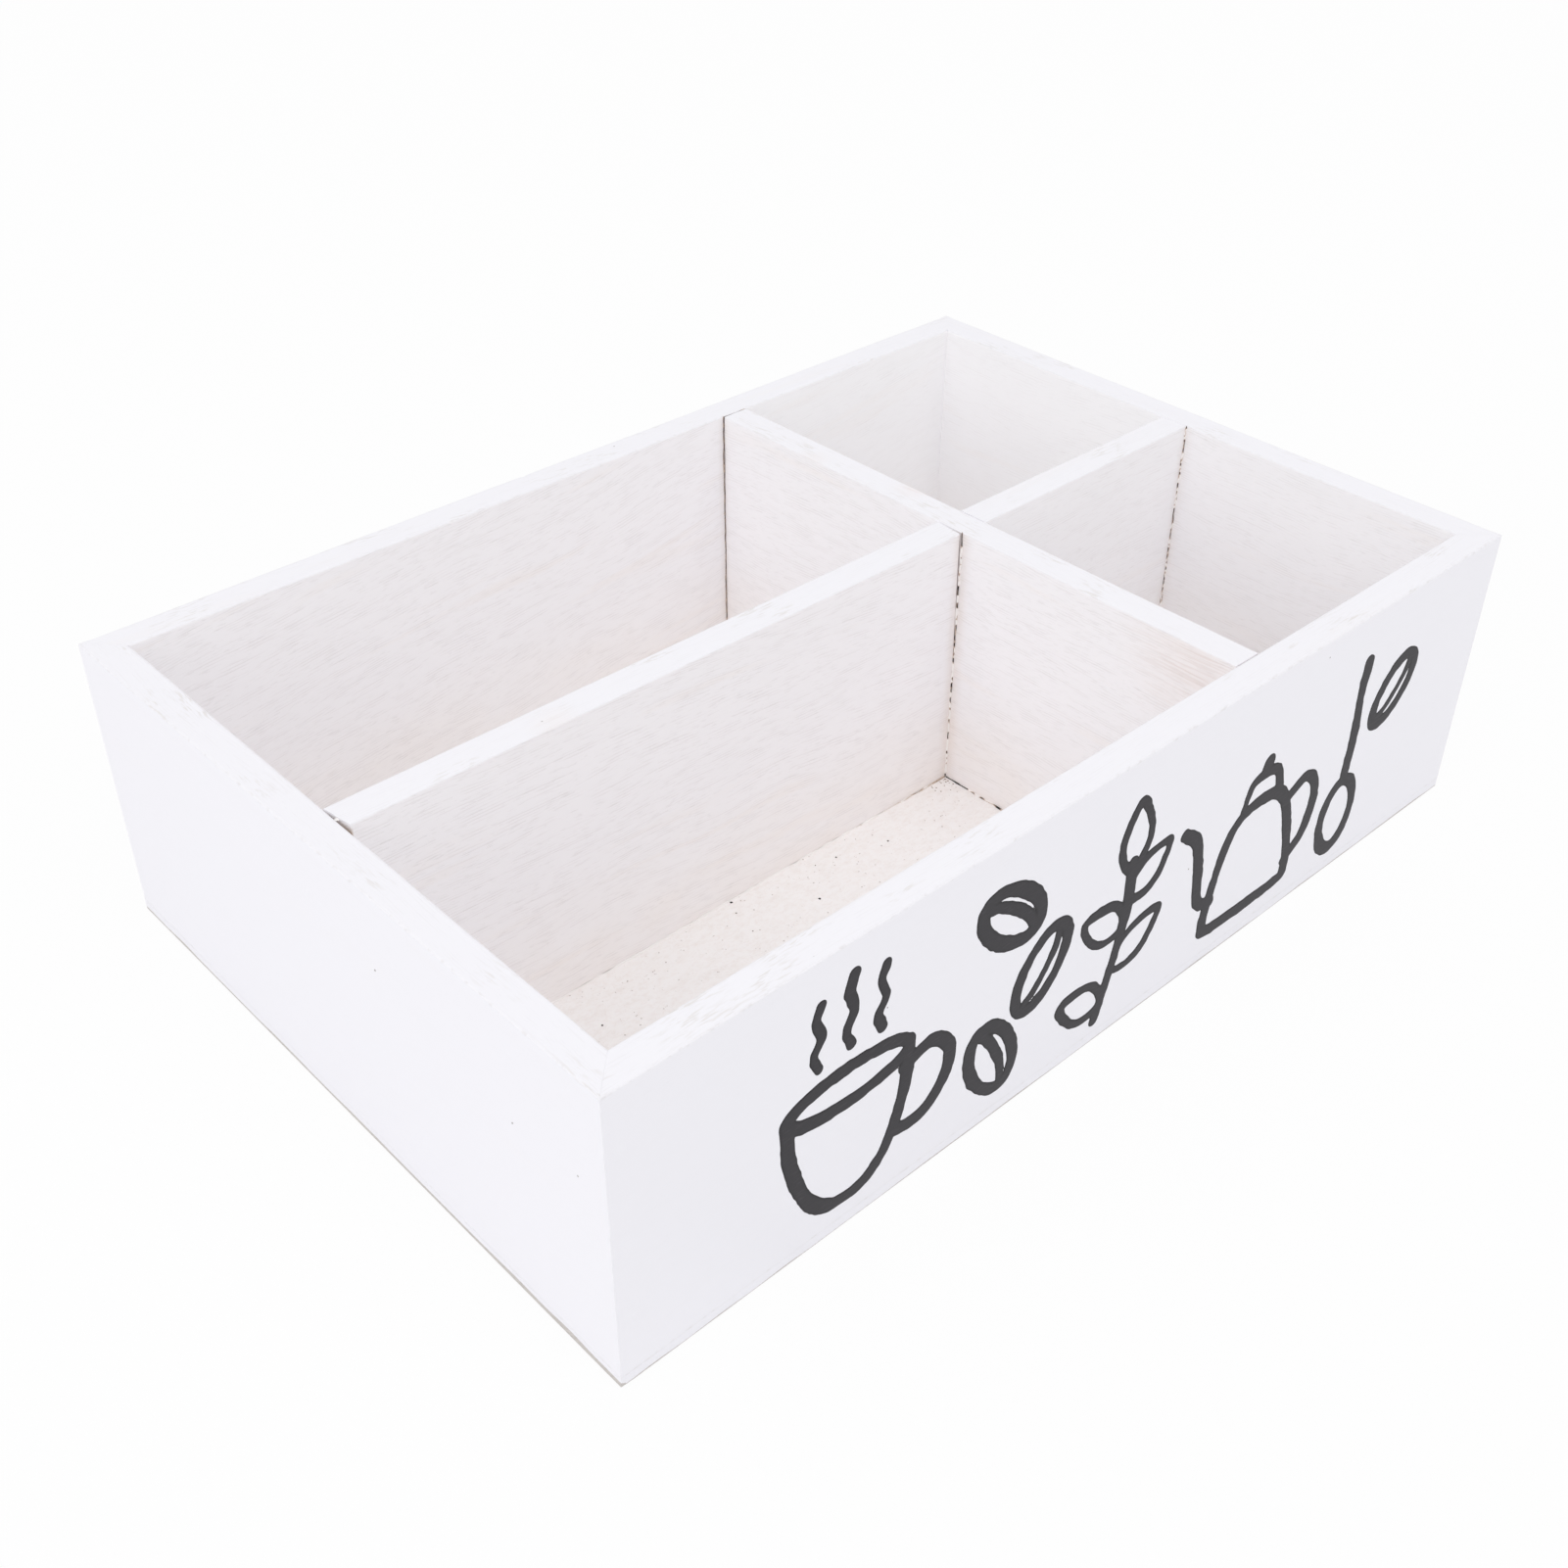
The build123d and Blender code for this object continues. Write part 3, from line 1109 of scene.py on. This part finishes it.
mug = [
    (oval(-88, 43, 17.5, 5), "stroke"),
    (mirrored([(-105.5, 43), (-104.5, 30), (-100, 17), (-93, 10)], -88), "stroke"),
    ([(-71.5, 37), (-63, 39), (-57.5, 33), (-59.5, 24), (-66, 18.5), (-74.5, 19)], "stroke"),
    steam(-97, (53, 57, 61.5, 66, 70)),
    steam(-88, (54, 58.5, 63.5, 68.5, 73)),
    steam(-79, (53, 57, 61.5, 66, 70)),
]
beans = bean(-40, 60, 6.6, 11.5, 52) + bean(-28, 38, 6.6, 11.5, -32) + bean(-43, 20, 6.6, 11.5, 24)
sprig = [
    ([(-5, 7), (-1, 22), (2, 38), (2, 52)], "stroke"),
    leaf(2, 50, 19, 88),
    leaf(-4, 12, 17, 152),
    leaf(-1, 21, 19, 32),
    leaf(1, 33, 17, 148),
    leaf(2, 41, 17, 36),
]
kettle = [
    (mirrored([(40, 10), (36, 13), (38, 26), (42, 38), (48, 43)], 53.5) + [(40, 10)], "stroke"),
    (mirrored([(46, 44), (49, 51)], 53.5), "fineStroke"),
    ([(53.4, 53.8), (53.8, 55)], "stroke"),
    ([(37.5, 20), (32, 23), (30, 34), (27.5, 44), (22, 49)], "stroke"),
    ([(66, 38), (74, 41), (79, 34), (77, 22), (70.5, 16)], "stroke"),
]
spoon = [(oval(93, 19, 7, 11), "stroke"), ([(93, 31), (93.5, 44), (92.5, 57), (93, 67)], "stroke")]
lastBean = bean(109, 52, 6, 10.5, -38)
brushStrokes = mug + beans + sprig + kettle + spoon + lastBean


# points every little way along a smooth curve through the given ones
def smoothRun(corners, step):
    corners = np.array(corners, float)
    closed = np.allclose(corners[0], corners[-1])
    before = corners[-2] if closed else 2 * corners[0] - corners[1]
    after = corners[1] if closed else 2 * corners[-1] - corners[-2]
    knots = np.vstack([before, corners, after])
    run = []
    for n in range(1, len(knots) - 2):
        p0, p1, p2, p3 = knots[n - 1 : n + 3]
        count = max(2, int(np.linalg.norm(p2 - p1) / step))
        t = np.arange(count)[:, None] / count
        bend = 2 * p0 - 5 * p1 + 4 * p2 - p3
        twist = 3 * p1 - p0 - 3 * p2 + p3
        run.append(0.5 * (2 * p1 + (p2 - p0) * t + bend * t**2 + twist * t**3))
    return np.vstack(run + [knots[-2][None]])


# how far each grid point lies outside the painted strokes
def strokeField(xs, zs):
    search = drawing["search"]
    field = np.full((len(xs), len(zs)), float(search))
    for corners, width in brushStrokes:
        run = smoothRun(corners, drawing["runStep"])
        spots = np.stack([run[:, 0], 0 * run[:, 0], run[:, 1]], 1)
        radii = drawing[width] * (1 + ripples(spots, drawing["swells"]))
        for (x, z), radius in zip(run, radii):
            i0, i1 = np.searchsorted(xs, (x - search, x + search))
            k0, k1 = np.searchsorted(zs, (z - search, z + search))
            far = np.hypot(xs[i0:i1, None] - x, zs[None, k0:k1] - z) - radius
            field[i0:i1, k0:k1] = np.minimum(field[i0:i1, k0:k1], far)
    return field


# the painted area of a grid as polygons, cut where the field crosses nought
def fieldPolygons(field):
    spots, ids, polygons = [], {}, []
    snap = drawing["snap"]

    def corner(i, k):
        if (i, k) not in ids:
            ids[i, k] = len(spots)
            spots.append((i, k, field[i, k]))
        return ids[i, k]

    def crossing(first, second):
        key = (min(first, second), max(first, second))
        if key not in ids:
            (i0, k0), (i1, k1) = key
            t = field[i0, k0] / (field[i0, k0] - field[i1, k1])
            t = min(max(t, snap), 1 - snap)
            ids[key] = len(spots)
            spots.append((i0 + t * (i1 - i0), k0 + t * (k1 - k0), 0))
        return ids[key]

    inside = field < 0
    touched = inside[:-1, :-1] | inside[1:, :-1] | inside[1:, 1:] | inside[:-1, 1:]
    for i, k in np.argwhere(touched).tolist():
        ring = [(i, k), (i + 1, k), (i + 1, k + 1), (i, k + 1)]
        polygon = []
        for here, beyond in zip(ring, ring[1:] + ring[:1]):
            if inside[here]:
                polygon.append(corner(*here))
            if inside[here] != inside[beyond]:
                polygon.append(crossing(here, beyond))
        polygons.append(polygon)
    return np.array(spots), polygons


# the strokes' field over the front wall, and the place of its first point
def frontField():
    everyPoint = np.vstack([corners for corners, width in brushStrokes]) * mm
    low = everyPoint.min(axis=0) - drawing["margin"]
    high = everyPoint.max(axis=0) + drawing["margin"]
    xs, zs = (np.arange(low[way], high[way], drawing["cell"]) for way in (0, 1))
    field = strokeField(xs / mm, zs / mm) * mm
    gridX, gridZ = np.meshgrid(xs, zs, indexing="ij")
    spots = np.stack([gridX.ravel(), 0 * gridX.ravel(), gridZ.ravel()], 1)
    return field + ripples(spots, drawing["waves"]).reshape(field.shape), low


def brushFilm():
    field, low = frontField()
    spots, polygons = fieldPolygons(field)
    x, z = (low[way] + spots[:, way] * drawing["cell"] for way in (0, 1))
    within = -spots[:, 2]
    surface = outLow.y + skinDepth(np.stack([x, np.full(len(x), outLow.y), z], 1))
    swell = drawing["rimLift"] + (1 - drawing["rimLift"]) * fade(within, 0, drawing["liftWidth"])
    front = np.stack([x, surface - drawing["lift"] * swell, z], 1)
    back = np.stack([x, surface + drawing["under"], z], 1)
    points = np.vstack([front, back])
    count = len(front)
    faces = list(polygons)
    faces += [[n + count for n in polygon[::-1]] for polygon in polygons]
    # the sides that only one polygon has are the film's edge
    edge = {}
    for polygon in polygons:
        for here, beyond in zip(polygon, polygon[1:] + polygon[:1]):
            if edge.pop((beyond, here), None) is None:
                edge[here, beyond] = True
    faces += [[beyond, here, here + count, beyond + count] for here, beyond in edge]
    rim = 1 - fade(within, 0, drawing["rimWidth"])
    values = {"grain": points / mm, "strokeRim": np.concatenate([rim, rim])}
    boxPiece("brushDrawing", points, faces, ink, values)


brushFilm()
print("drawing brushed on:", len(brushStrokes), "strokes")

# floor, light and camera
stageLook = {"reach": 4, "floor": tint(238, 238, 239), "glow": 0.94}
light = {"sky": 0.84, "skyColour": (1, 1, 1, 1)}
lamps = {
    "frontSoftbox": {"place": Vector((0.1, -1.1, 1.5)), "size": 1.1, "power": 4.0},
    "leftSoftbox": {"place": Vector((-1.5, -0.2, 0.8)), "size": 1.0, "power": 4.4},
}
cameraStand = {
    "place": Vector((-277.78, -283.79, 313.39)) * mm,
    "azimuth": math.radians(-42.908),
    "elevation": math.radians(36.412),
    "roll": math.radians(0.348),
    "lens": 42.04,
    "sensor": 36,
    "nearest": 0.01,
}


# 1 for the rays that show a thing to the camera, also by a reflection or through glass
def seenRays(bench):
    rays = bench.node("ShaderNodeLightPath", out="Is Camera Ray")
    for other in ("Is Glossy Ray", "Is Transmission Ray"):
        rays = rays.maths("MAXIMUM", rays, bench.node("ShaderNodeLightPath", out=other))
    return rays


# the camera sees the floor nearly pure white, and the object sees a plain pale floor
def stageFloor():
    finish, bench = newFinish("paleFloor")
    dull = bench.node("ShaderNodeBsdfDiffuse", sockets={"Color": stageLook["floor"]})
    glow = bench.node("ShaderNodeEmission", sockets={"Color": (1, 1, 1, 1), "Strength": 1})
    share = seenRays(bench) * stageLook["glow"]
    mixed = bench.node("ShaderNodeMixShader", sockets={0: share, 1: dull, 2: glow})
    bench.node("ShaderNodeOutputMaterial", sockets={"Surface": mixed})
    reach = stageLook["reach"]
    corners = [(-reach, -reach), (reach, -reach), (reach, reach), (-reach, reach)]
    points = np.array([(x, y, outLow.z) for x, y in corners])
    newPiece("floor", points, [[0, 1, 2, 3]], finish, {})


def lightStudio():
    world = bpy.data.worlds.new("studio")
    bpy.context.scene.world = world
    world.use_nodes = True
    world.node_tree.nodes.clear()
    bench = Wire(world.node_tree)
    strength = seenRays(bench).spread(light["sky"], 1)
    sockets = {"Color": light["skyColour"], "Strength": strength}
    backdrop = bench.node("ShaderNodeBackground", sockets=sockets)
    bench.node("ShaderNodeOutputWorld", sockets={"Surface": backdrop})
    for name, softbox in lamps.items():
        lamp = bpy.data.lights.new(name, "AREA")
        lamp.size = softbox["size"]
        lamp.energy = softbox["power"]
        stand = bpy.data.objects.new(name, lamp)
        stand.location = softbox["place"]
        stand.rotation_euler = softbox["place"].to_track_quat("Z", "Y").to_euler()
        bpy.context.scene.collection.objects.link(stand)


def standCamera():
    azimuth, elevation = cameraStand["azimuth"], cameraStand["elevation"]
    level = math.cos(elevation)
    back = Vector((math.sin(azimuth) * level, -math.cos(azimuth) * level, math.sin(elevation)))
    roll = Matrix.Rotation(cameraStand["roll"], 4, "Z")
    heading = back.to_track_quat("Z", "Y").to_matrix().to_4x4() @ roll
    camera = bpy.data.cameras.new("camera")
    camera.lens = cameraStand["lens"]
    camera.sensor_width = cameraStand["sensor"]
    camera.clip_start = cameraStand["nearest"]
    stand = bpy.data.objects.new("camera", camera)
    stand.matrix_world = Matrix.Translation(cameraStand["place"]) @ heading
    bpy.context.scene.collection.objects.link(stand)
    bpy.context.scene.camera = stand


stageFloor()
lightStudio()
standCamera()
bpy.context.scene.view_settings.view_transform = "Standard"
bpy.context.scene.cycles.diffuse_bounces = 10  # pale boards light each other many times over
print("stage set")
